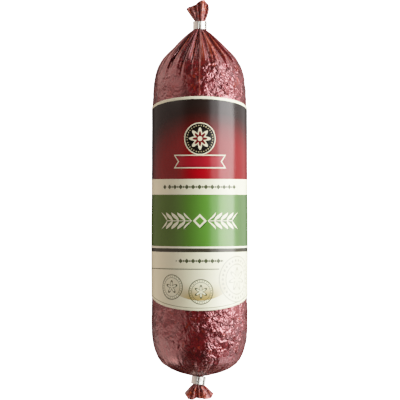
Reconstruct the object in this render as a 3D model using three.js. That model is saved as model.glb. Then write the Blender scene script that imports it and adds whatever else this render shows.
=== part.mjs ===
// A dry-cured sausage in its casing, lying on its side. The casing is one tube of film: tight over the meat,
// gathered and clipped at both ends, with a short pleated tail beyond each clip. A paper label is wrapped
// round the middle. Millimetres, +Z up, +Y along the sausage towards its pointed end, the label's front facing
// up. The origin is on the surface that it rests on, below the middle of its length.
import * as THREE from "three";

// Driving dimensions.
const HALF_LENGTH = 125; // over the casing's tails
const LABELLED_RADIUS = 29.6; // of the casing, at its fattest place under the label
const CASING_WALL = 0.5;
const LABEL_THICKNESS = 0.3;
const GAP = 0.3; // clear space between pieces that touch
const REST_DEPTH = 1.05; // how far its own weight has flattened the underside
const SEGMENTS = 48; // around the sausage
const SEGMENT_ANGLE = (2 * Math.PI) / SEGMENTS;
const PLEATS = 12; // folds around each gathered end
const BODY_STEPS = 24; // along the tight part of the casing

// Outline of the casing from the blunt end's tail to the pointed end's: [along, radius].
const BLUNT_TAIL = [
  [-HALF_LENGTH, 8.0],
  [-121, 7.6],
  [-118, 5.0],
];
const BLUNT_NECK = [
  [-115.9, 2.4],
  [-109.4, 2.4],
];
const BODY = [
  [-108.4, 6.4],
  [-106.5, 13.0],
  [-103.9, 19.1],
  [-100, 24.3],
  [-93.5, 27.6],
  [-85, 29.4],
  [-74, 29.8],
  [-60, 29.5],
  [-25, LABELLED_RADIUS],
  [20, 29.3],
  [48, 29.2],
  [62, 29.0],
  [74, 28.1],
  [82, 26.0],
  [88, 22.5],
  [95, 15.7],
  [102, 8.8],
];
const POINTED_NECK = [
  [106.1, 2.4],
  [112.0, 2.4],
];
const POINTED_TAIL = [
  [115, 4.6],
  [119, 6.3],
  [HALF_LENGTH, 6.2],
];

// How the tube differs from a plain round one along its length: [along, amount].
const WALL = [
  [-119, 0.7],
  [-116, 1.7], // many folds lie on each other inside the clip
  [-109.4, 1.7],
  [-107, CASING_WALL],
  [101, CASING_WALL],
  [106.1, 1.7],
  [112, 1.7],
  [116, 0.7],
];
const PLEAT_DEPTH = [
  [-HALF_LENGTH, 1.3],
  [-118, 0.8],
  [-115.9, 0.2],
  [-109.4, 0.2],
  [-106, 0.7],
  [-97, 0],
  [78, 0],
  [92, 0.6],
  [101, 0.6],
  [106.1, 0.2],
  [112, 0.2],
  [116, 0.8],
  [HALF_LENGTH, 1.2],
];
const SQUEEZE = [
  [-HALF_LENGTH, 0.6],
  [-116, 0.8],
  [-109.4, 0.85],
  [-106, 1],
  [98, 1],
  [106.1, 0.85],
  [112, 0.8],
  [HALF_LENGTH, 0.62],
];
const LEAN = [
  [-HALF_LENGTH, -0.6],
  [-121, -0.4],
  [-116, -1.2],
  [-112.5, -0.6],
  [-108, 0],
  [104, 0],
  [109, 0.4],
  [112, 0.3],
  [119, -1.1],
  [HALF_LENGTH, -0.9],
];
// The tails' cut ends aren't square: each is furthest out at one place across and rounds back from there.
const CUT_ROUNDING = 0.05; // per millimetre, times the square of the distance from that place
const BLUNT_CUT_PEAK = -0.5;
const POINTED_CUT_PEAK = 2.5;

// The label: its front is its tallest part, and both edges sink towards the back in one smooth wave.
const LABEL_TOP = 63.7; // along, at the front
const LABEL_BOTTOM = -68;
const LABEL_TOP_DROP = 6.3; // how far each edge has moved in at the sides, and twice that at the back
const LABEL_BOTTOM_DROP = 8.8;
const LABEL_OVERLAP = 2 * SEGMENT_ANGLE;
const LABEL_SEAM = -20 * SEGMENT_ANGLE; // from the front, on the side that faces the surface
const LABEL_ROWS = 8;

// The clips: flat aluminium wire pressed round the gathered neck, with its two ends side by side.
const CLIP_HALF_WIDTH = 4.5;
const CLIP_HALF_DEPTH = 3.9;
const CLIP_WALL = 1.5;
const CLIP_LENGTH = 5.3;
const CLIP_BEVEL = 0.35;
const CLIP_SLOT = 0.4; // between the wire's ends
const CLIP_SLOT_ANGLE = THREE.MathUtils.degToRad(46); // in the section, from +X
const POINTED_CLIP = { x: 0.4, y: 109.1, turn: 0 };
const BLUNT_CLIP = { x: -0.6, y: -112.6, turn: THREE.MathUtils.degToRad(-9) };

const AXIS_HEIGHT = LABELLED_RADIUS + GAP + LABEL_THICKNESS - REST_DEPTH;

const MATERIALS = {
  meat: new THREE.MeshStandardMaterial({ color: 0x7a2420, roughness: 0.6 }),
  casing: new THREE.MeshStandardMaterial({ color: 0x5e1717, roughness: 0.3 }),
  label: new THREE.MeshStandardMaterial({ color: 0xdcdabf, roughness: 0.45 }),
  clip: new THREE.MeshStandardMaterial({ color: 0xd4d4d0, roughness: 0.3, metalness: 1 }),
};

// The value at a place along the sausage, in a straight line between a table's neighbouring entries.
function along(table, y) {
  const after = table.findIndex(([place]) => place >= y);
  if (after === 0) return table[0][1];
  if (after < 0) return table[table.length - 1][1];
  const [y0, value0] = table[after - 1];
  const [y1, value1] = table[after];
  return THREE.MathUtils.mapLinear(y, y0, y1, value0, value1);
}

// Applies place(vertex) to every vertex of a geometry.
function reshape(geometry, place) {
  const positions = geometry.getAttribute("position");
  const vertex = new THREE.Vector3();
  for (let i = 0; i < positions.count; i++) {
    place(vertex.fromBufferAttribute(positions, i));
    positions.setXYZ(i, vertex.x, vertex.y, vertex.z);
  }
  return geometry;
}

// Lifts a point from the sausage's own axis to where it lies, no lower than its layer's flat underside.
function lay(vertex, underside) {
  vertex.z = Math.max(vertex.z + AXIS_HEIGHT, underside);
}

// Rounds the tails' cut ends: a point moves towards its clip by more the further out along its tail it is.
function roundCut(vertex) {
  const end = Math.sign(vertex.y);
  const [clip, peak] = end > 0 ? [POINTED_NECK[1][0], POINTED_CUT_PEAK] : [-BLUNT_NECK[0][0], BLUNT_CUT_PEAK];
  const share = Math.max(0, (Math.abs(vertex.y) - clip) / (HALF_LENGTH - clip));
  vertex.y -= end * share * CUT_ROUNDING * (vertex.x - peak) ** 2;
}

// One smooth curve through the body's points, so that it is rounded and not a row of cones.
const bodyCurve = new THREE.SplineCurve(BODY.map(([y, radius]) => new THREE.Vector2(y, radius)));
const bodyOutline = bodyCurve.getPoints(BODY_STEPS).map(({ x, y }) => [x, y]);
const casingOutline = [...BLUNT_TAIL, ...BLUNT_NECK, ...bodyOutline, ...POINTED_NECK, ...POINTED_TAIL];

// An outline moved inwards, square to itself, by depth(y).
function inset(outline, depth) {
  return outline.map(([y, radius], i) => {
    const [y0, radius0] = outline[Math.max(i - 1, 0)];
    const [y1, radius1] = outline[Math.min(i + 1, outline.length - 1)];
    const share = depth(y) / Math.hypot(y1 - y0, radius1 - radius0);
    return [y + share * (radius1 - radius0), radius - share * (y1 - y0)];
  });
}

// The meat: one solid that fills the tight part of the casing and comes to a point near each neck.
function meatGeometry() {
  const filled = inset(bodyOutline, (y) => CASING_WALL + GAP + along(PLEAT_DEPTH, y));
  const [first] = filled[0];
  const [last] = filled[filled.length - 1];
  const inner = filled.slice(1, -1).map(([y, radius]) => new THREE.Vector2(radius, y));
  const profile = [new THREE.Vector2(0, first), ...inner, new THREE.Vector2(0, last)];
  const geometry = new THREE.LatheGeometry(profile, SEGMENTS);
  return reshape(geometry, (vertex) => lay(vertex, LABEL_THICKNESS + 2 * GAP + CASING_WALL));
}

// The casing: a tube whose profile runs out along the outside, round the upper cut end and back along the inside.
function casingGeometry() {
  const outside = casingOutline.map(([y, radius]) => new THREE.Vector2(radius, y));
  const inner = inset(casingOutline, (y) => along(WALL, y));
  const inside = inner.map(([y, radius]) => new THREE.Vector2(radius, y)).reverse();
  const profile = [...outside, ...inside, outside[0].clone()];
  const geometry = new THREE.LatheGeometry(profile, SEGMENTS);
  const insideFrom = outside.length;
  const perColumn = profile.length;
  const positions = geometry.getAttribute("position");
  const vertex = new THREE.Vector3();
  for (let i = 0; i < positions.count; i++) {
    vertex.fromBufferAttribute(positions, i);
    const row = i % perColumn;
    const isInside = row >= insideFrom && row < perColumn - 1;
    const angle = Math.floor(i / perColumn) * SEGMENT_ANGLE;
    const radius = Math.hypot(vertex.x, vertex.z);
    const pleated = radius + along(PLEAT_DEPTH, vertex.y) * Math.cos(PLEATS * angle);
    vertex.x = along(LEAN, vertex.y) + pleated * Math.sin(angle);
    vertex.z = pleated * Math.cos(angle) * along(SQUEEZE, vertex.y);
    roundCut(vertex);
    lay(vertex, LABEL_THICKNESS + GAP + (isInside ? CASING_WALL : 0));
    positions.setXYZ(i, vertex.x, vertex.y, vertex.z);
  }
  return geometry;
}

// The label: a flat strip bent round the casing until its end lies over its start.
function labelGeometry() {
  const turn = 2 * Math.PI + LABEL_OVERLAP;
  const columns = Math.round(turn / SEGMENT_ANGLE);
  const strip = new THREE.BoxGeometry(1, 1, 1, columns, LABEL_ROWS, 1);
  return reshape(strip, (vertex) => {
    const way = vertex.x + 0.5; // 0 at the strip's start, 1 at its end
    const angle = LABEL_SEAM + way * turn;
    const isOuter = vertex.z > 0;
    const drop = 1 - Math.cos(angle);
    const bottom = LABEL_BOTTOM + LABEL_BOTTOM_DROP * drop;
    const y = THREE.MathUtils.lerp(bottom, LABEL_TOP - LABEL_TOP_DROP * drop, vertex.y + 0.5);
    const lift = THREE.MathUtils.smoothstep(way * turn, 2 * Math.PI - LABEL_OVERLAP, 2 * Math.PI);
    const layer = GAP + (isOuter ? LABEL_THICKNESS : 0) + lift * (GAP + LABEL_THICKNESS);
    const radius = along(bodyOutline, y) + layer;
    vertex.set(radius * Math.sin(angle), y, radius * Math.cos(angle));
    lay(vertex, isOuter ? 0 : LABEL_THICKNESS);
  });
}

// A clip: the section of a rounded ring with a slot, pushed out along the sausage, its edges broken.
function clipGeometry() {
  const halfSlot = CLIP_SLOT / 2 / CLIP_HALF_WIDTH;
  const start = CLIP_SLOT_ANGLE + halfSlot;
  const end = CLIP_SLOT_ANGLE - halfSlot + 2 * Math.PI;
  const section = new THREE.Shape();
  section.absellipse(0, 0, CLIP_HALF_WIDTH, CLIP_HALF_DEPTH, start, end, false);
  section.absellipse(0, 0, CLIP_HALF_WIDTH - CLIP_WALL, CLIP_HALF_DEPTH - CLIP_WALL, end, start, true);
  section.closePath();
  const geometry = new THREE.ExtrudeGeometry(section, {
    depth: CLIP_LENGTH - 2 * CLIP_BEVEL,
    bevelThickness: CLIP_BEVEL,
    bevelSize: CLIP_BEVEL,
    bevelOffset: -CLIP_BEVEL,
    bevelSegments: 2,
    curveSegments: 14,
  });
  return geometry.center().rotateX(Math.PI / 2);
}

function piece(name, geometry, material) {
  const mesh = new THREE.Mesh(geometry, material);
  mesh.name = name;
  return mesh;
}

function clip(name, { x, y, turn }) {
  const mesh = piece(name, clipGeometry(), MATERIALS.clip);
  mesh.position.set(x, y, AXIS_HEIGHT);
  mesh.rotation.z = turn;
  return mesh;
}

const sausage = new THREE.Group();
sausage.add(
  piece("meat", meatGeometry(), MATERIALS.meat),
  piece("casing", casingGeometry(), MATERIALS.casing),
  piece("label", labelGeometry(), MATERIALS.label),
  clip("pointed_end_clip", POINTED_CLIP),
  clip("blunt_end_clip", BLUNT_CLIP),
);

export default sausage;
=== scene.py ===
"""The looks of a dry-cured sausage that lies on its side: casing, printed label, clips and folded tails.

Metres, +Z up, +Y along the sausage to its pointed end, the label's front facing up. Sizes below are in
millimetres unless they say otherwise.
"""

import math

import bmesh
import bpy
import numpy as np
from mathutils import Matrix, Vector, noise


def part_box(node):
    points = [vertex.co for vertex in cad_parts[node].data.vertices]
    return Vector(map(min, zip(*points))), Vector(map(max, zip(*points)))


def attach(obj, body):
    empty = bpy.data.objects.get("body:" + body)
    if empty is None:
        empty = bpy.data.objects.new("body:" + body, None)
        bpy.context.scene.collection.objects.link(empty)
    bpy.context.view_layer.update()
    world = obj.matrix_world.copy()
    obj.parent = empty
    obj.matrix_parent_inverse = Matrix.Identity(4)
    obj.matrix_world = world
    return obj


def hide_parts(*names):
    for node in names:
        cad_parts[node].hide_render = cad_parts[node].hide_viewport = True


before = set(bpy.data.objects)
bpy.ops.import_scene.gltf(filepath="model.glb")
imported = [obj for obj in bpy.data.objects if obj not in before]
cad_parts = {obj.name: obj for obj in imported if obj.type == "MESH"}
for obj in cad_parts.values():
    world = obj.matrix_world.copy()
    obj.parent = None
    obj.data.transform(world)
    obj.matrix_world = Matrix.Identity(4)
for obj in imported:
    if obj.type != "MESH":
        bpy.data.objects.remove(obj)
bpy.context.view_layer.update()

# ------------------------------------------------------------ sizes
MM = 0.001
TURN = 2 * math.pi

clip_low, clip_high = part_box("pointed_end_clip")
label_low, label_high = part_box("label")
AXIS_HEIGHT = (clip_low.z + clip_high.z) / 2 / MM
LABEL_RADIUS = (label_high.x - label_low.x) / 2 / MM

# Outline of the tight part of the casing: (along, radius), from the blunt end's clip to the pointed end's.
BODY_OUTLINE = [
    (-112.6, 0.0), (-112.5, 2.1), (-110.0, 2.3), (-108.6, 6.4), (-106.6, 13.2), (-104.0, 19.2),
    (-100.0, 24.3), (-93.5, 27.7), (-85.0, 29.4), (-74.0, 29.8), (-60.0, 29.5), (-25.0, 29.6), (20.0, 29.3),
    (48.0, 29.2), (62.0, 29.0), (74.0, 28.0), (82.0, 26.0), (88.0, 22.6), (95.0, 15.8), (102.0, 8.6),
    (106.2, 3.7), (107.6, 2.2), (109.6, 2.1), (109.7, 0.0),
]
CASING_LIFT = 0.2  # the film lies this far outside the outline where nothing creases it
MEAT_INSET = 1.6
FINE_STEP = 0.55  # between rows of the film's mesh where it shows
COARSE_STEP = 5.0  # and under the label
FINE_BEYOND = (-50.0, 46.0)  # along; the coarse step runs between these
AROUND = 300  # columns of the film's mesh

# Depths of the film's relief along the sausage: (along, depth).
PLEATS = [
    (-110, 0.0), (-109, -0.35), (-106, -0.6), (-102, -0.35), (-98, -0.1), (-92, 0.0), (74, 0.0),
    (84, 0.55), (92, 1.3), (98, 1.5), (103, 1.15), (106, 0.4), (107.5, 0.0),
]
WRINKLES = [
    (-110, 0.0), (-107, 0.25), (-98, 0.36), (-75, 0.5), (-62, 0.42), (-50, 0.0), (45, 0.0), (56, 0.34),
    (72, 0.5), (84, 0.38), (96, 0.12), (106, 0.0),
]
SEAM = [(50, 0.0), (56, 0.2), (85, 0.2), (100, 0.12), (106, 0.0)]

# The label.
LABEL_TOP = 63.7  # along, at the front
LABEL_BOTTOM = -68.0
LABEL_TOP_DROP = 6.3  # how far each edge has moved in at the sides, and twice that at the back
LABEL_BOTTOM_DROP = 8.8
LABEL_PAPER = 0.2
LABEL_START = math.radians(-150)  # from the front
LABEL_OVERLAP = math.radians(15)
LABEL_STEP = 0.9  # between points of the paper's mesh
PAPER_GAP = 0.1  # between the paper and the film's flat

# The studio.
FILM_WHITE = 2.6  # the light that prints as pure white


# ------------------------------------------------------------ helpers
def hex_colour(code):
    """An sRGB hex value as a linear colour with alpha."""
    parts = [int(code[i : i + 2], 16) / 255 for i in (0, 2, 4)]
    return (*[p / 12.92 if p <= 0.04045 else ((p + 0.055) / 1.055) ** 2.4 for p in parts], 1.0)


# The kinds of node used most. A map range's list holds its value, the limits that go in and what comes out
# at them, and a smooth one eases between.
MATH = "ShaderNodeMath"
VECTOR_MATH = "ShaderNodeVectorMath"
MAP_RANGE = "ShaderNodeMapRange"
NOISE = "ShaderNodeTexNoise"
SEPARATE, COMBINE = "ShaderNodeSeparateXYZ", "ShaderNodeCombineXYZ"
SMOOTH = {"interpolation_type": "SMOOTHSTEP"}


def feed(tree, node, inputs):
    """Sets or links a node's inputs, given by name or, in a list, in order. A node means its first output."""
    for key, value in inputs.items() if isinstance(inputs, dict) else enumerate(inputs):
        if isinstance(value, bpy.types.Node):
            value = value.outputs[0]
        if isinstance(value, bpy.types.NodeSocket):
            tree.links.new(value, node.inputs[key])
        else:
            node.inputs[key].default_value = value


def add(tree, kind, inputs=None, operation=None, **settings):
    """Adds one node with its operation and other settings, and feeds its inputs."""
    node = tree.nodes.new(kind)
    if operation:
        node.operation = operation
    for name, value in settings.items():
        setattr(node, name, value)
    feed(tree, node, inputs or {})
    return node


def table(entries, places):
    """A table's values at these places, eased between its entries."""
    at, value = np.array(entries, float).T
    after = np.clip(np.searchsorted(at, places), 1, len(at) - 1)
    share = np.clip((places - at[after - 1]) / (at[after] - at[after - 1]), 0, 1)
    share = share * share * (3 - 2 * share)
    return value[after - 1] + share * (value[after] - value[after - 1])


def smooth_outline():
    """The body's outline as many points on one smooth curve through its entries."""
    points = np.array(BODY_OUTLINE, float)
    padded = np.vstack([points[0], points, points[-1]])
    curve = []
    for p0, p1, p2, p3 in zip(padded, padded[1:], padded[2:], padded[3:]):
        t = np.linspace(0, 1, 60, endpoint=False)[:, None]
        # Its slope at each entry is limited, so that the ends' sharp turns don't swing it outwards.
        reach = np.linalg.norm(p2 - p1)
        slope1 = (p2 - p0) / (np.linalg.norm(p2 - p0) or 1) * reach
        slope2 = (p3 - p1) / (np.linalg.norm(p3 - p1) or 1) * reach
        h = 2 * t**3 - 3 * t**2 + 1
        curve.append(h * p1 + (t**3 - 2 * t**2 + t) * slope1 + (1 - h) * p2 + (t**3 - t**2) * slope2)
    return np.vstack([*curve, points[-1:]])


OUTLINE = smooth_outline()


def outline_rows(fine, coarse):
    """Points along the outline, a fine step apart where the film shows and a coarse one under the label."""
    length = np.concatenate([[0], np.cumsum(np.linalg.norm(np.diff(OUTLINE, axis=0), axis=1))])
    places, here = [0.0], 0.0
    while here < length[-1]:
        along = np.interp(here, length, OUTLINE[:, 0])
        here += coarse if FINE_BEYOND[0] < along < FINE_BEYOND[1] else fine
        places.append(min(here, length[-1]))
    places = np.unique(places)
    rows = np.stack([np.interp(places, length, OUTLINE[:, k]) for k in (0, 1)], 1)
    slope = np.gradient(rows, places, axis=0)
    facing = np.stack([-slope[:, 1], slope[:, 0]], 1)
    return rows, facing / np.linalg.norm(facing, axis=1)[:, None]


def body_radius(along):
    """The outline's radius at this place along."""
    return np.interp(along, OUTLINE[:, 0], OUTLINE[:, 1])


def mesh_object(name, points, faces, material):
    """A smooth mesh object from points in millimetres and faces."""
    mesh = bpy.data.meshes.new(name)
    mesh.from_pydata((np.asarray(points) * MM).tolist(), [], faces)
    mesh.shade_smooth()
    piece = bpy.data.objects.new(name, mesh)
    bpy.context.scene.collection.objects.link(piece)
    if material:
        mesh.materials.append(material)
    return piece


def grid_faces(columns, rows, closed):
    """Faces of a grid of columns of points. A closed grid joins its last column to its first."""
    faces = []
    for i in range(columns if closed else columns - 1):
        for j in range(rows - 1):
            a, b = i * rows + j, (i + 1) % columns * rows + j
            faces.append((a, b, b + 1, a + 1))
    return faces


def face_out(piece):
    """Turns all of a mesh's faces to point outwards."""
    bm = bmesh.new()
    bm.from_mesh(piece.data)
    bmesh.ops.recalc_face_normals(bm, faces=bm.faces)
    bm.to_mesh(piece.data)
    bm.free()


def grain(point, size, seed):
    """Smooth noise from -1 to 1 with features of this size, at a point in millimetres."""
    return noise.noise(Vector(point) / size + Vector((seed, seed * 0.7, seed * 1.3)))


# ------------------------------------------------------------ materials
def new_material(name):
    """An empty node material with one Principled shader. Returns the material, its tree and that shader."""
    material = bpy.data.materials.new(name)
    material.use_nodes = True
    tree = material.node_tree
    tree.nodes.clear()
    shader = add(tree, "ShaderNodeBsdfPrincipled")
    add(tree, "ShaderNodeOutputMaterial", {"Surface": shader})
    return material, tree, shader


def millimetres(tree):
    """Object coordinates in millimetres."""
    place = add(tree, "ShaderNodeTexCoord").outputs["Object"]
    return add(tree, VECTOR_MATH, {0: place, "Scale": 1 / MM}, "SCALE")


def patches(tree, place, size, low, high, detail=2.0):
    """Soft patches of about this size: 0 where the noise is under low, 1 where it is over high."""
    pattern = add(tree, NOISE, {"Vector": place, "Scale": 1 / size, "Detail": detail})
    return add(tree, MAP_RANGE, [pattern, low, high], **SMOOTH)


def layered(tree, colour, *layers):
    """Lays colours over one another in turn, each as far as its mask says."""
    for mask, over in layers:
        if isinstance(over, str):
            over = hex_colour(over)
        colour = add(tree, "ShaderNodeMix", {0: mask, 6: colour, 7: over}, data_type="RGBA").outputs[2]
    return colour


def casing_material():
    """Smoked collagen film, tight over coarse dry meat: deep red with blurred orange fat, and glossy."""
    material, tree, shader = new_material("smoked collagen casing")
    place = millimetres(tree)
    film = add(tree, "ShaderNodeAttribute", attribute_name="film").outputs["Vector"]
    gathered = add(tree, "ShaderNodeAttribute", attribute_name="gathered").outputs["Fac"]
    gathered = add(tree, MAP_RANGE, [gathered, 0.5, 1.4])  # millimetres of pleat depth
    streaks = patches(tree, film, 3.2, 0.52, 0.64)
    streaks = add(tree, MATH, [streaks, gathered], "MULTIPLY")
    # The seam's ridge, coloured paler along the film as a painted highlight.
    seam = add(tree, "ShaderNodeAttribute", attribute_name="seam").outputs["Fac"]
    colour = layered(
        tree, hex_colour("4e080c"),
        (patches(tree, place, 7.0, 0.4, 0.6, 3.0), "620c10"),
        (patches(tree, place, 9.0, 0.5, 0.7), "34080b"),
        (patches(tree, place, 2.6, 0.5, 0.68, 2.0), "70151a"),
        (patches(tree, place, 4.2, 0.58, 0.78, 1.5), "8a2a12"),
        (patches(tree, place, 2.4, 0.58, 0.72, 1.0), "43090d"),
        (streaks, "a8431c"),
        (seam, "a04c3e"),
    )

    # Dry film creases into small flat facets, drawn out along a slant.
    slant = add(tree, "ShaderNodeVectorRotate", {"Vector": place, "Axis": (0.0, 0.0, 1.0), "Angle": 0.7})
    slant = add(tree, VECTOR_MATH, [slant, (0.5, 1.0, 0.8)], "MULTIPLY")
    warp = add(tree, NOISE, {"Vector": place, "Scale": 1 / 4.5, "Detail": 1.0}).outputs["Color"]
    crumpled = add(tree, VECTOR_MATH, [warp, (6.0, 6.0, 6.0), slant], "MULTIPLY_ADD")
    facets = add(tree, "ShaderNodeTexVoronoi", {"Vector": crumpled, "Scale": 1 / 2.8},
                 feature="DISTANCE_TO_EDGE")
    folds = add(tree, NOISE, {"Vector": crumpled, "Scale": 1 / 2.6, "Detail": 1.0})
    height = add(tree, MATH, [folds, 1.2, facets], "MULTIPLY_ADD")
    crumple = add(tree, "ShaderNodeAttribute", attribute_name="crumple").outputs["Fac"]
    height = add(tree, MATH, [height, crumple], "MULTIPLY")
    bump = add(tree, "ShaderNodeBump", {"Height": height, "Strength": 1.0, "Distance": 0.85 * MM})
    rough = add(tree, MAP_RANGE, [folds, 0.3, 0.7, 0.18, 0.28])
    feed(tree, shader, {
        "Base Color": colour, "Roughness": rough, "Normal": bump, "Coat Normal": bump,
        "IOR": 2.4, "Specular Tint": hex_colour("ffaeb2"), "Coat Weight": 0.3, "Coat Roughness": 0.1,
        "Sheen Weight": 0.25, "Sheen Roughness": 0.5, "Sheen Tint": hex_colour("ffa89c"),
    })
    return material


def tail_material():
    """The same film with no meat behind it: thin, crumpled and orange-brown, with light coming through its
    fold crests painted in as a lighter orange.
    """
    material, tree, shader = new_material("folded collagen film")
    place = millimetres(tree)
    fold = add(tree, "ShaderNodeAttribute", attribute_name="fold").outputs["Fac"]
    # Painted highlight: the fold crests are coloured a lighter orange.
    painted_crest_highlight = add(tree, MAP_RANGE, [fold, 0.45, 0.85])
    colour = layered(
        tree, hex_colour("601611"),
        (patches(tree, place, 3.4, 0.44, 0.6), "8c2a1b"),
        (painted_crest_highlight, "a84a2e"),
        (patches(tree, place, 2.4, 0.56, 0.7), "b04c20"),
        (patches(tree, place, 1.6, 0.55, 0.66), "3c090b"),
    )
    fine = add(tree, NOISE, {"Vector": place, "Scale": 1 / 1.2, "Detail": 2.0})
    bump = add(tree, "ShaderNodeBump", {"Height": fine, "Strength": 1.0, "Distance": 0.4 * MM})
    feed(tree, shader, {"Base Color": colour, "Normal": bump, "Roughness": 0.3, "IOR": 1.8,
                        "Specular Tint": hex_colour("ffbcb8"), "Coat Weight": 0.4, "Coat Roughness": 0.15})
    return material


def meat_material():
    """Coarse-ground dry-cured meat: dark red lean with grains of pale fat."""
    material, tree, shader = new_material("coarse cured meat")
    place = millimetres(tree)
    colour = layered(
        tree, hex_colour("6d1a1b"),
        (patches(tree, place, 6.0, 0.4, 0.6, 3.0), "8e2a26"),
        (patches(tree, place, 3.2, 0.58, 0.64, 1.0), "e2b9a4"),
    )
    feed(tree, shader, {"Base Color": colour, "Roughness": 0.5})
    return material


def clip_material():
    """Aluminium wire, drawn and pressed: pale, softly shining, with fine marks from the die."""
    material, tree, shader = new_material("pressed aluminium wire")
    stretched = add(tree, VECTOR_MATH, [millimetres(tree), (1.0, 8.0, 1.0)], "MULTIPLY")
    marks = add(tree, NOISE, {"Vector": stretched, "Scale": 1.2, "Detail": 3.0})
    rough = add(tree, MAP_RANGE, [marks, 0.0, 1.0, 0.42, 0.6])
    bump = add(tree, "ShaderNodeBump", {"Height": marks, "Strength": 0.4, "Distance": 0.06 * MM})
    colour = layered(tree, hex_colour("d9d8d2"), (marks, "f2f1ec"))
    feed(tree, shader, {"Base Color": colour, "Roughness": rough, "Normal": bump, "Metallic": 1.0})
    return material


# ------------------------------------------------------------ label print
def mark_group(name, sizes):
    """An empty node group for one printed mark: a place on the paper, a centre and sizes in, a mask out."""
    group = bpy.data.node_groups.new(name, "ShaderNodeTree")
    for vector in ("Place", "Centre"):
        group.interface.new_socket(vector, in_out="INPUT", socket_type="NodeSocketVector")
    for size in sizes:
        group.interface.new_socket(size, in_out="INPUT", socket_type="NodeSocketFloat")
    group.interface.new_socket("Mask", in_out="OUTPUT", socket_type="NodeSocketFloat")
    given = add(group, "NodeGroupInput").outputs
    offset = add(group, VECTOR_MATH, [given["Place"], given["Centre"]], "SUBTRACT")
    return group, given, offset


def polar(group, offset):
    """A place's distance and angle from a mark's centre."""
    distance = add(group, VECTOR_MATH, [offset], "LENGTH").outputs["Value"]
    parts = add(group, SEPARATE, [offset]).outputs
    return distance, add(group, MATH, [parts[0], parts[1]], "ARCTAN2")


def from_nearest(group, place, spacing):
    """How far a place lies from the nearest of equally spaced points."""
    half = add(group, MATH, [spacing, 0.5], "MULTIPLY")
    back = add(group, MATH, [half, -1.0], "MULTIPLY")
    aside = add(group, MATH, [place, half, back], "WRAP")
    return add(group, MATH, [aside], "ABSOLUTE")


def ring_group():
    """A ring with a radius and a line width."""
    group, given, offset = mark_group("printed ring", ["Radius", "Line"])
    distance = add(group, VECTOR_MATH, [offset], "LENGTH").outputs["Value"]
    half = add(group, MATH, [given["Line"], 0.5], "MULTIPLY")
    ring = add(group, MATH, [distance, given["Radius"], half], "COMPARE")
    add(group, "NodeGroupOutput", {"Mask": ring})
    return group


def petals_group():
    """A flower of equal petals: its edge runs between the radius and a notched share of it."""
    group, given, offset = mark_group("printed petals", ["Petals", "Radius", "Notch"])
    distance, angle = polar(group, offset)
    turned = add(group, MATH, [angle, given["Petals"]], "MULTIPLY")
    wave = add(group, MATH, [turned], "COSINE")
    share = add(group, MAP_RANGE, [wave, -1.0, 1.0, given["Notch"]])
    edge = add(group, MATH, [share, given["Radius"]], "MULTIPLY")
    inside = add(group, MATH, [distance, edge], "LESS_THAN")
    add(group, "NodeGroupOutput", {"Mask": inside})
    return group


def beads_group():
    """A ring of equal round beads."""
    group, given, offset = mark_group("printed beads", ["Beads", "Radius", "Bead"])
    distance, angle = polar(group, offset)
    step = add(group, MATH, [TURN, given["Beads"]], "DIVIDE")
    nearest = add(group, MATH, [angle, step], "SNAP")
    past = add(group, MATH, [angle, nearest], "SUBTRACT")
    half = add(group, MATH, [step, 0.5], "MULTIPLY")
    aside = add(group, MATH, [past, half], "SUBTRACT")
    sideways = add(group, MATH, [aside, given["Radius"]], "MULTIPLY")
    outwards = add(group, MATH, [distance, given["Radius"]], "SUBTRACT")
    apart = add(group, COMBINE, [sideways, outwards])
    reach = add(group, VECTOR_MATH, [apart], "LENGTH").outputs["Value"]
    inside = add(group, MATH, [reach, given["Bead"]], "LESS_THAN")
    add(group, "NodeGroupOutput", {"Mask": inside})
    return group


def ribbon_group():
    """A straight ribbon whose two ends are notched by this much."""
    group, given, offset = mark_group("printed ribbon", ["Half Width", "Half Height", "Notch"])
    away = add(group, VECTOR_MATH, [offset], "ABSOLUTE")
    parts = add(group, SEPARATE, [away]).outputs
    low = add(group, MATH, [parts[1], given["Half Height"]], "LESS_THAN")
    share = add(group, MATH, [parts[1], given["Half Height"]], "DIVIDE")
    inward = add(group, MATH, [1.0, share], "SUBTRACT")
    cut = add(group, MATH, [inward, given["Notch"]], "MULTIPLY")
    reach = add(group, MATH, [parts[0], cut], "ADD")
    near = add(group, MATH, [reach, given["Half Width"]], "LESS_THAN")
    inside = add(group, MATH, [low, near], "MULTIPLY")
    add(group, "NodeGroupOutput", {"Mask": inside})
    return group


def diamonds_group():
    """A row of equal diamonds, as many as fit within the half width."""
    group, given, offset = mark_group("printed diamonds", ["Half Width", "Spacing", "Diamond"])
    parts = add(group, SEPARATE, [offset]).outputs
    far = add(group, MATH, [parts[0]], "ABSOLUTE")
    near = add(group, MATH, [far, given["Half Width"]], "LESS_THAN")
    across = from_nearest(group, parts[0], given["Spacing"])
    tall = add(group, MATH, [parts[1]], "ABSOLUTE")
    reach = add(group, MATH, [across, tall], "ADD")
    inside = add(group, MATH, [reach, given["Diamond"]], "LESS_THAN")
    inside = add(group, MATH, [inside, near], "MULTIPLY")
    add(group, "NodeGroupOutput", {"Mask": inside})
    return group


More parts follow.
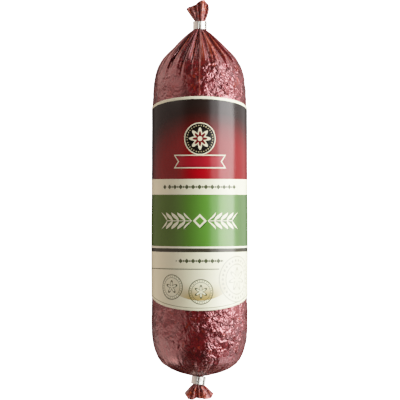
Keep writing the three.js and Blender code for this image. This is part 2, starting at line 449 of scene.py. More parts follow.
def sprig_group():
    """Two sprigs that run left and right from a centre: stems with pairs of pointed leaves."""
    group, given, offset = mark_group("printed sprig", ["Start", "Length", "Spacing", "Leaf"])
    away = add(group, VECTOR_MATH, [offset], "ABSOLUTE")
    parts = add(group, SEPARATE, [away]).outputs
    past = add(group, MATH, [parts[0], given["Start"]], "SUBTRACT")
    # A leaf leans outwards by as much as it rises, so going back down its line finds its foot on the stem.
    foot = add(group, MATH, [past, parts[1]], "SUBTRACT")
    aside = from_nearest(group, foot, given["Spacing"])
    up = add(group, MATH, [parts[1], given["Leaf"]], "DIVIDE")
    bow = add(group, MATH, [1.0, up], "SUBTRACT")
    bow = add(group, MATH, [bow, up], "MULTIPLY")
    width = add(group, MATH, [bow, given["Spacing"]], "MULTIPLY")
    leaf = add(group, MATH, [width, 1.45], "MULTIPLY")
    leaf = add(group, MATH, [aside, leaf], "LESS_THAN")
    stem = add(group, MATH, [parts[1], 0.24], "LESS_THAN")
    either = add(group, MATH, [stem, leaf], "MAXIMUM")
    middle = add(group, MATH, [given["Length"], 0.5], "MULTIPLY")
    there = add(group, MATH, [foot, middle, middle], "COMPARE")
    inside = add(group, MATH, [either, there], "MULTIPLY")
    add(group, "NodeGroupOutput", {"Mask": inside})
    return group


def label_material():
    """Label paper under a gloss varnish, printed in bands and plain ornament, one seal pressed in blind; some
    light and shade painted in.
    """
    material, tree, shader = new_material("varnished label paper")
    groups = {"ring": ring_group(), "petals": petals_group(), "beads": beads_group(),
              "ribbon": ribbon_group(), "diamonds": diamonds_group(), "sprig": sprig_group()}
    # The print map holds millimetres round the sausage from the front, and along it. The edge map holds the
    # distances to the top edge and the foot.
    place = add(tree, "ShaderNodeUVMap", uv_map="print").outputs[0]
    around, along = add(tree, SEPARATE, [place]).outputs[:2]
    edges = add(tree, "ShaderNodeUVMap", uv_map="edges")
    from_top, from_foot = add(tree, SEPARATE, [edges]).outputs[:2]

    def stamp(kind, centre, *sizes):
        """The mask of one mark, its centre and its sizes in millimetres."""
        mark = add(tree, "ShaderNodeGroup", node_tree=groups[kind])
        feed(tree, mark, {"Place": place, "Centre": (*centre, 0.0)})
        for socket, size in zip(mark.inputs[2:], sizes):
            socket.default_value = size
        return mark

    cream, ink = "f1f0d4", "545b3e"

    # The red panel: bright red round a point near its foot, and almost black 56 mm left of it, 84 right of it
    # and 42 above it.
    leftwards = add(tree, MATH, [around, -1 / 56], "MULTIPLY")
    rightwards = add(tree, MATH, [around, 1 / 84], "MULTIPLY")
    aside = add(tree, MATH, [leftwards, rightwards], "MAXIMUM")
    rise = add(tree, MATH, [along, 1 / 42, -17 / 42], "MULTIPLY_ADD")
    spot = add(tree, COMBINE, [aside, rise])
    glow = add(tree, VECTOR_MATH, [spot], "LENGTH").outputs["Value"]
    panel = add(tree, "ShaderNodeValToRGB", {"Fac": glow})
    panel.color_ramp.elements[0].color = hex_colour("b00614")
    panel.color_ramp.elements[1].color = hex_colour("261c18")
    for position, code in (
        (0.12, "9e0c15"), (0.25, "861213"), (0.48, "821615"),
        (0.64, "6a1715"), (0.76, "4b1814"), (0.88, "2c1915"),
    ):
        panel.color_ramp.elements.new(position).color = hex_colour(code)
    under_margin = add(tree, MATH, [from_top, 1.75], "GREATER_THAN")
    above_foot = add(tree, MATH, [along, 12.9], "GREATER_THAN")
    red = add(tree, MATH, [under_margin, above_foot], "MULTIPLY")

    # The green panel, printed darker to the left of its middle; paler and bluer to the right as a painted
    # highlight, and darker again at the far right as painted shade.
    left = add(tree, MAP_RANGE, [around, 5.0, -21.0], **SMOOTH)
    right = add(tree, MAP_RANGE, [around, 3.0, 20.0], **SMOOTH)
    far_right_painted_shade = add(tree, MAP_RANGE, [around, 16.0, 30.0])
    green = layered(tree, hex_colour("5b8e33"), (left, "546e2a"), (right, "6c9052"), (far_right_painted_shade, "5b7448"))

    # A soft gold glow that ends in a sharp curve near the foot.
    bow = add(tree, MATH, [around, around], "MULTIPLY")
    bow = add(tree, MATH, [bow, 0.017, -61.6], "MULTIPLY_ADD")
    rise = add(tree, MATH, [along, bow], "SUBTRACT")
    gold = add(tree, MAP_RANGE, [rise, 0.0, 11.0, 1.0, 0.0], **SMOOTH)
    side = add(tree, MATH, [around], "ABSOLUTE")
    side = add(tree, MAP_RANGE, [side, 6.0, 19.0, 1.0, 0.0])
    gold = add(tree, MATH, [gold, side], "MULTIPLY")
    above_bow = add(tree, MATH, [rise, 0.0], "GREATER_THAN")
    gold = add(tree, MATH, [gold, above_bow], "MULTIPLY")

    # One fine line stops short of the blind seal, and another follows the foot.
    left = add(tree, MATH, [around, 12.5], "LESS_THAN")
    hairline = add(tree, MATH, [along, -42.4, 0.24], "COMPARE")
    hairline = add(tree, MATH, [hairline, left], "MULTIPLY")
    foot_line = add(tree, MATH, [from_foot, 1.75, 0.22], "COMPARE")

    layers = [(red, panel)]
    for top, bottom, over in ((3.3, -28.5, green), (-28.5, -29.7, "f1efd8"), (-29.7, -32.0, "3f3d2f")):
        band = add(tree, MATH, [along, (top + bottom) / 2, (top - bottom) / 2], "COMPARE")
        layers.append((band, over))
    layers += [(gold, "b8a066"), (hairline, ink), (foot_line, "a8a789")]

    # In the red panel a round rosette, and under it a blank ribbon.
    rosette, ribbon = (0.3, 37.6), (0.3, 23.6)
    for kind, centre, sizes, over in (
        ("petals", rosette, (1, 10.0, 1), "e9e2c4"), ("petals", rosette, (1, 9.3, 1), "17120e"),
        ("petals", rosette, (8, 6.9, 0.55), "e9e2c4"), ("petals", rosette, (8, 4.6, 0.5), "6d1a1c"),
        ("petals", rosette, (1, 1.5, 1), "e9e2c4"), ("beads", rosette, (32, 8.1, 0.36), "c9bd92"),
        ("ribbon", ribbon, (17.2, 4.2, 3.0), "ece6cb"), ("ribbon", ribbon, (16.0, 3.5, 2.6), "8e1320"),
        ("ribbon", ribbon, (14.6, 2.6, 2.0), "a51a26"),
    ):
        layers.append((stamp(kind, centre, *sizes), over))

    # Rows of small diamonds on the cream, and sprigs either side of one diamond on the green, with a thin
    # shadow.
    for height, half_length in ((8.0, 25.6), (-37.4, 15.2)):
        layers.append((stamp("diamonds", (0.0, height), half_length, 4.0, 1.5), ink))
        layers.append((stamp("diamonds", (2.0, height), half_length - 2, 4.0, 0.75), ink))
    wide_spacing = 99.0  # leaves one diamond
    for shift, over in ((0.35, "31521c"), (0.0, "ecebcf")):
        centre = (0.2 + shift, -12.8 - shift)
        layers.append((stamp("sprig", centre, 4.9, 17.2, 4.3, 5.2), over))
        layers.append((stamp("diamonds", centre, 4.6, wide_spacing, 4.4), over))
    layers.append((stamp("diamonds", (0.2, -12.8), 4.6, wide_spacing, 2.6), "5f9636"))

    # Two small seals of thin lines.
    for centre, leaves in (((-18.3, -53.5), 5), ((0.9, -56.3), 6)):
        for kind, sizes, over in (
            ("ring", (7.5, 0.5), ink), ("ring", (5.8, 0.26), ink), ("beads", (28, 6.65, 0.26), ink),
            ("petals", (leaves, 4.3, 0.34), ink), ("petals", (leaves, 3.3, 0.2), cream),
        ):
            layers.append((stamp(kind, centre, *sizes), over))

    # The blind seal: raised rings, beads and a flower with no ink, pressed in by the bump. Their lines are
    # also coloured a darker cream as painted shade, and the flower's middle is cream again.
    seal = (26.6, -48.8)
    raised_with_painted_shade = stamp("ring", seal, 14.0, 0.7)
    for kind, sizes in (("beads", (26, 11.6, 0.8)), ("ring", (9.3, 0.6)), ("petals", (7, 7.4, 0.4))):
        raised_with_painted_shade = add(tree, MATH, [raised_with_painted_shade, stamp(kind, seal, *sizes)], "MAXIMUM")
    # Painted shade on the seal's raised lines.
    layers.append((raised_with_painted_shade, "c9c7b0"))
    layers.append((stamp("petals", seal, 7, 5.8, 0.3), cream))

    fibres = add(tree, NOISE, {"Vector": place, "Scale": 1 / 1.4, "Detail": 2.0})
    height = add(tree, MATH, [fibres, 0.12, raised_with_painted_shade], "MULTIPLY_ADD")
    bump = add(tree, "ShaderNodeBump", {"Height": height, "Strength": 1.0, "Distance": 0.12 * MM})
    colour = layered(tree, hex_colour(cream), *layers)
    feed(tree, shader, {"Base Color": colour, "Normal": bump, "Roughness": 0.22, "IOR": 1.44})
    return material


def paper_back_material():
    """The label's unprinted back: uncoated white paper."""
    material, tree, shader = new_material("uncoated paper back")
    fibres = patches(tree, millimetres(tree), 0.8, 0.3, 0.7)
    colour = layered(tree, hex_colour("d8d5c4"), (fibres, "e6e3d4"))
    feed(tree, shader, {"Base Color": colour, "Roughness": 0.8})
    return material


# ------------------------------------------------------------ casing and meat
def relief_tree():
    """Turns an outline about the axis and creases the skin: pleats at the ends, wrinkles between them."""
    tree = bpy.data.node_groups.new("creased skin", "GeometryNodeTree")
    sizes = ["Axis Height", "Underside", "Relief", "Pleats Around", "Pleat Lift", "Wrinkle Size",
             "Smooth Side", "Seam Width", "Label Foot", "Foot Drop", "Label Top", "Top Drop", "Seed"]
    kinds = {"Outline": "Object", "Columns": "Int", "Rows": "Int", **dict.fromkeys(sizes, "Float")}
    kinds["Material"] = "Material"
    for name, kind in kinds.items():
        tree.interface.new_socket(name, in_out="INPUT", socket_type="NodeSocket" + kind)
    tree.interface.new_socket("Geometry", in_out="OUTPUT", socket_type="NodeSocketGeometry")
    given = add(tree, "NodeGroupInput").outputs

    columns = add(tree, MATH, [given["Columns"], 1.0], "ADD")
    grid = add(tree, "GeometryNodeMeshGrid",
               {"Size X": 1.0, "Size Y": 1.0, "Vertices X": columns, "Vertices Y": given["Rows"]})
    at = add(tree, SEPARATE, [add(tree, "GeometryNodeInputPosition")]).outputs
    angle = add(tree, MATH, [at[0], TURN], "MULTIPLY")
    last = add(tree, MATH, [given["Rows"], 1.0], "SUBTRACT")
    row = add(tree, MATH, [at[1], 0.5], "ADD")
    row = add(tree, MATH, [row, last], "MULTIPLY")
    row = add(tree, "FunctionNodeFloatToInt", {0: row}, rounding_mode="ROUND")
    outline = add(tree, "GeometryNodeObjectInfo", {"Object": given["Outline"]}).outputs["Geometry"]

    def from_outline(attribute):
        """The outline's own attribute, at this vertex's row."""
        if attribute == "position":
            field = add(tree, "GeometryNodeInputPosition").outputs[0]
        else:
            field = add(tree, "GeometryNodeInputNamedAttribute", {"Name": attribute},
                        data_type="FLOAT_VECTOR").outputs["Attribute"]
        sample = add(tree, "GeometryNodeSampleIndex", {"Geometry": outline, "Index": row},
                     data_type="FLOAT_VECTOR", domain="POINT")
        tree.links.new(field, sample.inputs["Value"])
        return add(tree, SEPARATE, [sample.outputs["Value"]]).outputs

    profile, facing, depths = from_outline("position"), from_outline("facing"), from_outline("depths")
    sine = add(tree, MATH, [angle], "SINE")
    cosine = add(tree, MATH, [angle], "COSINE")

    def turned(radius, along):
        """A radius and a place along, at this vertex's angle."""
        across = add(tree, MATH, [radius, sine], "MULTIPLY")
        up = add(tree, MATH, [radius, cosine], "MULTIPLY")
        return add(tree, COMBINE, [across, along, up])

    skin, outward = turned(profile[0], profile[1]), turned(facing[0], facing[1])

    def creases(vector, scale, sharpness, detail):
        """Narrow lines, 1 along their bottoms, where smooth noise crosses its middle value."""
        pattern = add(tree, NOISE, {"Vector": vector, "Scale": scale, "Detail": detail})
        apart = add(tree, MATH, [pattern, 0.5], "SUBTRACT")
        apart = add(tree, MATH, [apart], "ABSOLUTE")
        return add(tree, MAP_RANGE, [apart, 0.0, 1 / sharpness, 1.0, 0.0], **SMOOTH)

    # Pleats: the noise goes round the sausage but hardly along it, so its lines run to the clips. A slower
    # noise makes some of them deep and others faint.
    across = add(tree, MATH, [sine, given["Pleats Around"]], "MULTIPLY")
    slowly = add(tree, MATH, [profile[1], 26.0, given["Seed"]], "MULTIPLY_ADD")
    up = add(tree, MATH, [cosine, given["Pleats Around"]], "MULTIPLY")
    ring = add(tree, COMBINE, [across, slowly, up])
    broad = creases(ring, 0.18, 9.0, 1.0)
    narrow = creases(ring, 0.4, 8.0, 1.0)
    pleats = add(tree, MATH, [narrow, 0.55, broad], "MULTIPLY_ADD")
    strength = add(tree, NOISE, {"Vector": ring, "Scale": 0.22, "Detail": 1.0})
    strength = add(tree, MAP_RANGE, [strength, 0.35, 0.65, 0.25, 1.5])
    pleats = add(tree, MATH, [pleats, strength], "MULTIPLY")
    pleats = add(tree, MATH, [pleats, given["Pleat Lift"]], "SUBTRACT")

    # Wrinkles: rolling ground cut into uneven flat facets, their outlines bent by a second noise.
    size = add(tree, MATH, [1 / MM, given["Wrinkle Size"]], "DIVIDE")
    spot = add(tree, VECTOR_MATH, {0: skin, "Scale": size}, "SCALE")
    bend = add(tree, NOISE, {"Vector": spot, "Scale": 0.7, "Detail": 1.0}).outputs["Color"]
    spot = add(tree, "ShaderNodeVectorRotate", {"Vector": spot, "Axis": (0.0, 0.0, 1.0), "Angle": -0.6})
    spot = add(tree, VECTOR_MATH, [spot, (0.65, 1.0, 0.8)], "MULTIPLY")
    spot = add(tree, VECTOR_MATH, [bend, (2.0, 2.0, 2.0), spot], "MULTIPLY_ADD")
    facets = add(tree, "ShaderNodeTexVoronoi", {"Vector": spot, "Scale": 1.0}, feature="DISTANCE_TO_EDGE")
    rolling = add(tree, NOISE, {"Vector": spot, "Scale": 0.8, "Detail": 2.0, "Roughness": 0.6})
    wrinkles = add(tree, MATH, [facets, -2.5, 1.0], "MULTIPLY_ADD")
    wrinkles = add(tree, MATH, [rolling, 3.0, wrinkles], "MULTIPLY_ADD")
    wrinkles = add(tree, MATH, [wrinkles, 1.9], "SUBTRACT")

    # The film creases most a little to the right of the front. It lies smoother in a strip just left of the
    # front, where it is gathered, and here and there elsewhere.
    beside = add(tree, MATH, [angle, given["Smooth Side"]], "SUBTRACT")
    beside = add(tree, MATH, [beside], "ABSOLUTE")
    crumple = add(tree, MAP_RANGE, [beside, 0.1, 0.4, 0.6], **SMOOTH)
    region = add(tree, NOISE, {"Vector": skin, "Scale": 0.1 / MM, "Detail": 1.0})
    region = add(tree, MAP_RANGE, [region, 0.36, 0.6, 0.35, 1.3], **SMOOTH)
    crumple = add(tree, MATH, [crumple, region], "MULTIPLY")
    aside = add(tree, MATH, [angle, 0.6], "SUBTRACT")
    aside = add(tree, MATH, [aside], "ABSOLUTE")
    aside = add(tree, MAP_RANGE, [aside, 0.3, 1.2, 1.1, 0.4], **SMOOTH)
    crumple = add(tree, MATH, [crumple, aside], "MULTIPLY")
    loose = add(tree, MAP_RANGE, [depths[0], 0.2 * MM, 1.0 * MM, 1.0, 0.35])
    crumple = add(tree, MATH, [crumple, loose], "MULTIPLY")
    wrinkles = add(tree, MATH, [wrinkles, crumple], "MULTIPLY")

    # The film's seam: one low ridge along the front.
    away = add(tree, MATH, [angle, profile[0]], "MULTIPLY")
    away = add(tree, MATH, [away], "ABSOLUTE")
    ridge = add(tree, MAP_RANGE, [away, 0.0, given["Seam Width"], 1.0, 0.0], **SMOOTH)

    depth = add(tree, MATH, [pleats, depths[0]], "MULTIPLY")
    depth = add(tree, MATH, [wrinkles, depths[1], depth], "MULTIPLY_ADD")
    lift_of_seam = add(tree, MATH, [ridge, depths[2]], "MULTIPLY")
    lift = add(tree, MATH, [lift_of_seam, depth], "SUBTRACT")
    lift = add(tree, MATH, [lift, given["Relief"]], "MULTIPLY")

    # Nothing stands out where the label presses on it.
    drop = add(tree, MATH, [1.0, cosine], "SUBTRACT")
    foot = add(tree, MATH, [drop, given["Foot Drop"], given["Label Foot"]], "MULTIPLY_ADD")
    top = add(tree, MATH, [drop, given["Top Drop"]], "MULTIPLY")
    top = add(tree, MATH, [given["Label Top"], top], "SUBTRACT")
    past_foot = add(tree, MATH, [profile[1], foot], "SUBTRACT")
    before_top = add(tree, MATH, [top, profile[1]], "SUBTRACT")
    inside = add(tree, MATH, [past_foot, before_top], "MINIMUM")
    most = add(tree, MAP_RANGE, [inside, -3.0 * MM, -0.4 * MM, 0.8 * MM, -0.02 * MM])
    lift = add(tree, MATH, [lift, most], "MINIMUM")
    lifts = add(tree, COMBINE, [lift, lift, lift])
    skin = add(tree, VECTOR_MATH, [outward, lifts, skin], "MULTIPLY_ADD")

    # Up to where it lies, and flat where it rests.
    place = add(tree, SEPARATE, [skin]).outputs
    height = add(tree, MATH, [place[2], given["Axis Height"]], "ADD")
    height = add(tree, MATH, [height, given["Underside"]], "MAXIMUM")
    place = add(tree, COMBINE, [place[0], place[1], height])

    # What the casing's material reads.
    gathered = add(tree, MATH, [depths[0], 1 / MM], "MULTIPLY")
    # The seam ridge's height, which the casing's material paints paler as a painted highlight.
    seam = add(tree, MATH, [lift_of_seam, 4 / MM], "MULTIPLY")
    formed = grid
    for name, kind, value in (
        ("film", "FLOAT_VECTOR", ring), ("gathered", "FLOAT", gathered),
        ("seam", "FLOAT", seam), ("crumple", "FLOAT", crumple),
    ):
        formed = add(tree, "GeometryNodeStoreNamedAttribute",
                     {"Geometry": formed, "Name": name, "Value": value}, data_type=kind, domain="POINT")
    formed = add(tree, "GeometryNodeSetPosition", {"Geometry": formed, "Position": place})
    formed = add(tree, "GeometryNodeMergeByDistance", {"Geometry": formed, "Distance": 1e-6})
    formed = add(tree, "GeometryNodeSetShadeSmooth", {"Geometry": formed})
    formed = add(tree, "GeometryNodeRealizeInstances", {"Geometry": formed})
    formed = add(tree, "GeometryNodeSetMaterial", {"Geometry": formed, "Material": given["Material"]})
    add(tree, "NodeGroupOutput", {"Geometry": formed})
    return tree


def turned_skin(name, tree, material, inset, relief, columns, fine, coarse):
    """A closed skin made by the tree from the body's outline, moved inwards by the inset."""
    rows, facing = outline_rows(fine, coarse)
    moved = rows - inset * facing
    moved[:, 1] = np.maximum(moved[:, 1], 0)
    moved[0, 1] = moved[-1, 1] = 0
    flat = np.zeros(len(rows))
    outline = mesh_object(name + "_outline", np.stack([moved[:, 1], moved[:, 0], flat], 1), [], None)
    depths = np.stack([table(entries, rows[:, 0]) for entries in (PLEATS, WRINKLES, SEAM)], 1) * MM
    facing = np.stack([facing[:, 1], facing[:, 0], flat], 1)
    for attribute, values in (("facing", facing), ("depths", depths)):
        layer = outline.data.attributes.new(attribute, "FLOAT_VECTOR", "POINT")
        layer.data.foreach_set("vector", values.astype(np.float32).ravel())

    maker = mesh_object(name + "_maker", [], [], None)
    modifier = maker.modifiers.new("skin", "NODES")
    modifier.node_group = tree
    values = {
        "Outline": outline, "Columns": columns, "Rows": len(rows), "Axis Height": AXIS_HEIGHT * MM,
        "Underside": (LABEL_PAPER + PAPER_GAP + inset + CASING_LIFT) * MM, "Relief": relief,
        "Pleats Around": 26.0, "Pleat Lift": 0.35, "Wrinkle Size": 3.6, "Smooth Side": -0.12,
        "Seam Width": 0.7 * MM, "Label Foot": LABEL_BOTTOM * MM, "Foot Drop": LABEL_BOTTOM_DROP * MM,
        "Label Top": LABEL_TOP * MM, "Top Drop": LABEL_TOP_DROP * MM, "Seed": 3.0, "Material": material,
    }
    for item in tree.interface.items_tree:
        if item.in_out == "INPUT":
            modifier[item.identifier] = values[item.name]
    evaluated = maker.evaluated_get(bpy.context.evaluated_depsgraph_get())
    mesh = bpy.data.meshes.new_from_object(evaluated)
    mesh.name = name
    piece = bpy.data.objects.new(name, mesh)
    bpy.context.scene.collection.objects.link(piece)
    bpy.data.objects.remove(maker)
    bpy.data.objects.remove(outline)
    return piece


# ------------------------------------------------------------ label sheet
def label_sheet(print_side, back_side):
    """The paper strip, bent round the sausage until its end lies over its start."""
    turn = TURN + LABEL_OVERLAP
    columns = round(turn * LABEL_RADIUS / LABEL_STEP)
    rows = round((LABEL_TOP - LABEL_BOTTOM) / LABEL_STEP)
    points, prints, edges = [], [], []
    fullest = -25.0  # where along the body is fullest under the label
    outside = LABEL_RADIUS - body_radius(fullest)
    for i in range(columns):
        way = i / (columns - 1) * turn
        angle = LABEL_START + way
        bottom = LABEL_BOTTOM + LABEL_BOTTOM_DROP * (1 - math.cos(angle))
        top = LABEL_TOP - LABEL_TOP_DROP * (1 - math.cos(angle))
        # The end of the strip rises until it clears the start.
        lift = float(table([(turn - 2 * LABEL_OVERLAP, 0.0), (TURN, LABEL_PAPER + 0.06)], np.array(way)))
        for j in range(rows):
            along = bottom + j / (rows - 1) * (top - bottom)
            radius = float(body_radius(along)) + outside + lift
            spot = (radius * math.sin(angle), along, radius * math.cos(angle))
            radius += 0.1 * grain(spot, 13.0, 5.0) - 0.1  # slight waves, all of them inwards
            height = max(radius * math.cos(angle) + AXIS_HEIGHT, 0.0)
            points.append((radius * math.sin(angle), along, height))
            prints.append((LABEL_RADIUS * angle, along))
            edges.append((top - along, along - bottom))
    sheet = mesh_object("label_sheet", points, grid_faces(columns, rows, False), print_side)
    sheet.data.materials.append(back_side)
    corner_points = np.empty(len(sheet.data.loops), int)
    sheet.data.loops.foreach_get("vertex_index", corner_points)
    for name, values in (("print", prints), ("edges", edges)):
        layer = sheet.data.uv_layers.new(name=name)
        layer.data.foreach_set("uv", np.array(values, np.float32)[corner_points].ravel())
    # The printed side faces outwards.
    bm = bmesh.new()
    bm.from_mesh(sheet.data)
    bm.normal_update()
    middle = min(bm.faces, key=lambda face: abs(face.calc_center_median().x) - face.calc_center_median().z)
    if middle.normal.z < 0:
        bmesh.ops.reverse_faces(bm, faces=bm.faces)
    bm.to_mesh(sheet.data)
    bm.free()
    thick = sheet.modifiers.new("paper", "SOLIDIFY")
    thick.thickness = LABEL_PAPER * MM
    thick.offset = -1.0
    thick.material_offset = 1
    return sheet


# ------------------------------------------------------------ tails
def tail(name, material, mouth, throat, cut, folds, depth, seed):
    """The film past a clip: a flattened, folded tube that opens from the clip's mouth to its ragged cut.

    mouth is the middle of the clip's outer edge, and throat how far back inside the clip the tube starts.
    cut is the outline of the cut end, and folds its crests and creases, left to right, as (share of the
    width, height).
    """
    columns, rows = 200, 44
    inside = 0.22  # share of the rows inside the clip
    narrow = 2.3  # half depth inside the clip
    cut, folds = np.array(cut, float), np.array(folds, float)
    spread = np.linspace(0, 1, len(cut))
    points, crest_highlight = [], []
    side = 1 if cut[:, 1].mean() > 0 else -1
    for i in range(columns):
        angle = i / columns * TURN
        across = -math.cos(angle)
        share = (across + 1) / 2
        front = math.sin(angle)
        end_x, end_y = np.interp(share, spread, cut[:, 0]), np.interp(share, spread, cut[:, 1])
        ragged = 0.5 * abs(grain((share * 12, front * 3, seed), 1.0, seed)) + 0.6 * abs(front) * (front < 0)
        for j in range(rows):
            t = j / (rows - 1)
            out = max(0.0, (t - inside) / (1 - inside))  # 0 inside the clip
            opened = out ** 0.85
            start_x = mouth[0] + 3.0 * across
            x = start_x + (end_x - start_x) * opened
            y = mouth[1] + (end_y - side * ragged - mouth[1]) * out
            if out == 0:
                y = mouth[1] - side * throat * (1 - t / inside)
            drift = 0.05 * grain((share * 3, 2.5 * out, seed + 4), 1.0, seed)
            wave = float(np.interp(share + drift * out, folds[:, 0], folds[:, 1]))
            flare = narrow + (depth - narrow) * opened
            crumple = 0.8 * out * grain((x, y, 4 * front), 2.2, seed + 2)
            z = front * abs(front) ** -0.3 * flare if abs(front) > 1e-6 else 0.0
            fold = (0.3 + 1.5 * opened) * wave * (0.35 + 0.65 * abs(front))
            z = z * (1 - 0.25 * across * across) + fold + crumple
            x += 0.3 * opened * grain((share * 6, out * 2, seed), 1.0, seed + 1)
            points.append((x, y, z + AXIS_HEIGHT))
            # How much painted highlight the film's material lays here: the fold's crest height, more further
            # out.
            crest_highlight.append(min(1.0, max(0.0, wave)) * (0.4 + 0.6 * out))
    piece = mesh_object(name, points, grid_faces(columns, rows, True), material)
    layer = piece.data.attributes.new("fold", "FLOAT", "POINT")
    layer.data.foreach_set("value", np.array(crest_highlight, np.float32))
    face_out(piece)
    film = piece.modifiers.new("film", "SOLIDIFY")
    film.thickness = 0.16 * MM
    film.offset = 0.0
    return piece


# ------------------------------------------------------------ clips
# A clip's section over its front, from its left side to its right: (across, up). The wire's flats meet in a
# pressed groove, and its two ends leave a slot. Its back joins them underneath.
CLIP_SECTION = [
    (-4.45, -0.6), (-4.45, 0.9), (-3.9, 2.2), (-1.2, 3.6), (-0.7, 3.4), (-0.6, 2.8), (-0.1, 2.8), (0.0, 3.6),
    (0.4, 3.85), (2.5, 3.0), (2.9, 2.6), (3.0, 1.7), (3.5, 1.5), (3.6, 2.4), (3.9, 2.1), (4.4, 1.2),
    (4.45, 0.4),
]
CLIP_BACK = [(4.3, -1.4), (3.4, -2.7), (1.6, -3.5), (-1.6, -3.5), (-3.4, -2.7), (-4.3, -1.5)]
CLIP_HALF_LENGTH = 2.62


def clip(name, node, material, turn):
    """A clip of pressed wire: its section along the neck, with rounded rims and a bore round the film."""
    low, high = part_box(node)
    centre = (low + high) / 2 / MM
    section = np.array(CLIP_SECTION + CLIP_BACK)
    # Rings over the outside, from rim to rim: (share of the half length, how far inside the section).
    rims = [(-0.86, 0.7), (-0.99, 0.3), (-0.96, 0.08), (-0.86, 0.0), (-0.4, 0.03), (0.4, 0.03), (0.86, 0.0),
            (0.96, 0.08), (0.99, 0.3), (0.86, 0.7)]
    distance = np.linalg.norm(section, axis=1)[:, None]
    rings = [(along, section * (1 - inside / distance)) for along, inside in rims]
    bore = section / distance * [2.9, 2.5]  # half its width and height
    rings += [(0.7, bore), (-0.7, bore)]
    points = [(x, along * CLIP_HALF_LENGTH, z) for along, ring in rings for x, z in ring]
    count = len(section)
    faces = []
    for k in range(len(rings)):
        this, following = k * count, (k + 1) % len(rings) * count
        for i in range(count):
            beside = (i + 1) % count
            faces.append((this + i, this + beside, following + beside, following + i))
    cosine, sine = math.cos(turn), math.sin(turn)
    points = [(x * cosine - y * sine + centre.x, x * sine + y * cosine + centre.y, z + centre.z)
              for x, y, z in points]
    piece = mesh_object(name, points, faces, material)
    face_out(piece)
    rounded = piece.modifiers.new("rounded", "SUBSURF")
    rounded.levels = rounded.render_levels = 3
    return piece


# ------------------------------------------------------------ stage
def softbox(name, bearing, height, reach, along, size, radiance):
    """A rectangular softbox, this many degrees from straight up towards +X, facing the sausage's axis."""
    data = bpy.data.lights.new(name, "AREA")
    data.shape = "RECTANGLE"
    data.size, data.size_y = size
    data.energy = radiance * math.pi * size[0] * size[1]
    lamp = bpy.data.objects.new(name, data)
    turn = math.radians(bearing)
    lamp.location = (reach * math.sin(turn), along, height + reach * math.cos(turn))
    lamp.rotation_euler = (0.0, turn, 0.0)
    lamp.visible_camera = False
    bpy.context.scene.collection.objects.link(lamp)


def build_stage():
    """A white floor, two softboxes on the right, a dim room round it all, and the camera above."""
    scene = bpy.context.scene
    scene.view_settings.view_transform = "Standard"
    # The brightest tones roll off, as on film.
    scene.view_settings.use_curve_mapping = True
    film_curve = scene.view_settings.curve_mapping
    film_curve.white_level = (FILM_WHITE, FILM_WHITE, FILM_WHITE)
    for light, tone in ((0.4, 0.4), (0.6, 0.555), (0.9, 0.71), (1.3, 0.84), (1.8, 0.93)):
        film_curve.curves[3].points.new(light / FILM_WHITE, tone)
    film_curve.update()

    far = 3000
    corners = [(-far, -far, 0), (far, -far, 0), (far, far, 0), (-far, far, 0)]
    floor = mesh_object("floor", corners, [(0, 1, 2, 3)], None)
    material, tree, shader = new_material("white backdrop paper")
    feed(tree, shader, {"Base Color": hex_colour("d8d8d8"), "Roughness": 0.9,
                        "Emission Color": hex_colour("ffffff"), "Emission Strength": FILM_WHITE})
    floor.data.materials.append(material)
    floor.visible_glossy = floor.visible_diffuse = False

    # The room: dark over the sausage and dim on the left, where it brightens towards each end, with pale
    # reflectors low on the right and past both ends.
    world = bpy.data.worlds.new("studio")
    world.use_nodes = True
    tree = world.node_tree
    way = add(tree, "ShaderNodeTexCoord").outputs["Generated"]
    way = add(tree, SEPARATE, [way]).outputs
    lengthwise = add(tree, MATH, [way[1]], "ABSOLUTE")
    left = add(tree, MAP_RANGE, [way[0], -0.42, -0.78, 0.01, 0.3], **SMOOTH)
    past_middle = add(tree, MAP_RANGE, [lengthwise, 0.06, 0.18], **SMOOTH)
    before_end = add(tree, MAP_RANGE, [lengthwise, 0.45, 0.75, 1.0, 0.55], **SMOOTH)
    ends = add(tree, MATH, [past_middle, before_end], "MULTIPLY")
    left_ends = add(tree, MAP_RANGE, [way[0], -0.4, -0.88, 0.0, 0.95], **SMOOTH)
    right = add(tree, MAP_RANGE, [way[0], 0.35, 0.8, 0.0, 1.0], **SMOOTH)
    low = add(tree, MAP_RANGE, [way[2], 0.3, -0.2])
    light = add(tree, MATH, [ends, left_ends, left], "MULTIPLY_ADD")
    past_ends = add(tree, MAP_RANGE, [lengthwise, 0.5, 0.8, 0.0, 2.4], **SMOOTH)
    aside = add(tree, MATH, [way[0]], "ABSOLUTE")
    aside = add(tree, MAP_RANGE, [aside, 0.28, 0.6])
    reflectors = add(tree, MATH, [past_ends, aside, right], "MULTIPLY_ADD")
    light = add(tree, MATH, [reflectors, low, light], "MULTIPLY_ADD")
    warm = add(tree, MAP_RANGE, [way[0], 0.0, -0.5])
    colour = layered(tree, hex_colour("ffffff"), (warm, "ffebe0"))
    feed(tree, tree.nodes["Background"], {"Color": colour, "Strength": light})
    scene.world = world

    axis = AXIS_HEIGHT * MM
    softbox("right_softbox", 68.0, axis, 1.0, 0.3, (0.82, 1.15), 8.6)
    softbox("upper_right_softbox", 35.0, axis, 1.1, 0.05, (0.34, 1.0), 2.8)

    camera = bpy.data.objects.new("camera", bpy.data.cameras.new("camera"))
    scene.collection.objects.link(camera)
    distance = 1.5
    framed = 0.25  # height of the view at the sausage's axis
    camera.location = (0.0003, 0.0, axis + distance)
    camera.data.sensor_width = 36.0
    camera.data.lens = camera.data.sensor_width * distance / framed
    camera.data.clip_end = 20.0
    scene.camera = camera


# ------------------------------------------------------------ assembly
build_stage()
skin_tree = relief_tree()
film, loose_film = casing_material(), tail_material()
metal = clip_material()

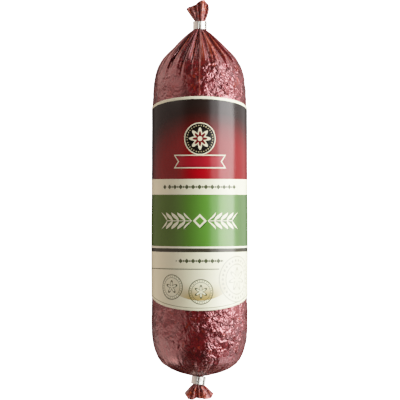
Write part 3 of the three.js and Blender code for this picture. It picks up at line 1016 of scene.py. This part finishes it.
casing = turned_skin("casing_film", skin_tree, film, -CASING_LIFT, 1.0, AROUND, FINE_STEP, COARSE_STEP)
meat = turned_skin("meat_filling", skin_tree, meat_material(), MEAT_INSET, 0.0, 96, 2.5, 5.0)
label = label_sheet(label_material(), paper_back_material())
pointed_tail = tail(
    "pointed_end_tail", loose_film, (0.4, 111.6), 2.6,
    [(-8.1, 119.4), (-6.6, 120.5), (-4.6, 121.2), (-2.3, 122.2), (-0.6, 123.6), (1.0, 124.7), (2.6, 124.9),
     (4.4, 123.3), (5.6, 121.8), (6.0, 119.2)],
    [(0.0, 0.2), (0.07, 0.9), (0.12, -0.2), (0.2, 0.7), (0.26, -0.5), (0.36, 0.6), (0.42, -0.9), (0.52, 0.3),
     (0.6, 1.0), (0.76, 0.5), (0.82, -0.4), (0.92, 0.7), (1.0, 0.0)],
    3.2, 1.0)
blunt_tail = tail(
    "blunt_end_tail", loose_film, (-1.0, -115.2), 2.6,
    [(-9.3, -120.9), (-8.0, -122.9), (-6.9, -124.3), (-4.8, -124.8), (-2.0, -123.6), (0.2, -123.9),
     (2.6, -124.1), (5.4, -124.0), (7.4, -123.5), (8.6, -121.2)],
    [(0.0, 0.0), (0.08, 0.8), (0.2, 0.6), (0.26, -0.3), (0.36, 0.9), (0.44, -1.0), (0.55, 0.1), (0.6, -0.7),
     (0.7, 0.9), (0.84, 0.5), (0.88, -0.2), (0.95, 0.6), (1.0, 0.0)],
    3.8, 2.0)
pointed_clip = clip("pointed_clip_wire", "pointed_end_clip", metal, 0.0)
blunt_clip = clip("blunt_clip_wire", "blunt_end_clip", metal, math.radians(-9))

for piece, node, slot in (
    (casing, "casing", "collagen_casing"), (pointed_tail, "casing", "collagen_casing"),
    (blunt_tail, "casing", "collagen_casing"), (meat, "meat", "cured_meat"), (label, "label", "label_paper"),
    (pointed_clip, "pointed_end_clip", "clip_aluminium"), (blunt_clip, "blunt_end_clip", "clip_aluminium"),
):
    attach(piece, "root")
    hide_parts(node)
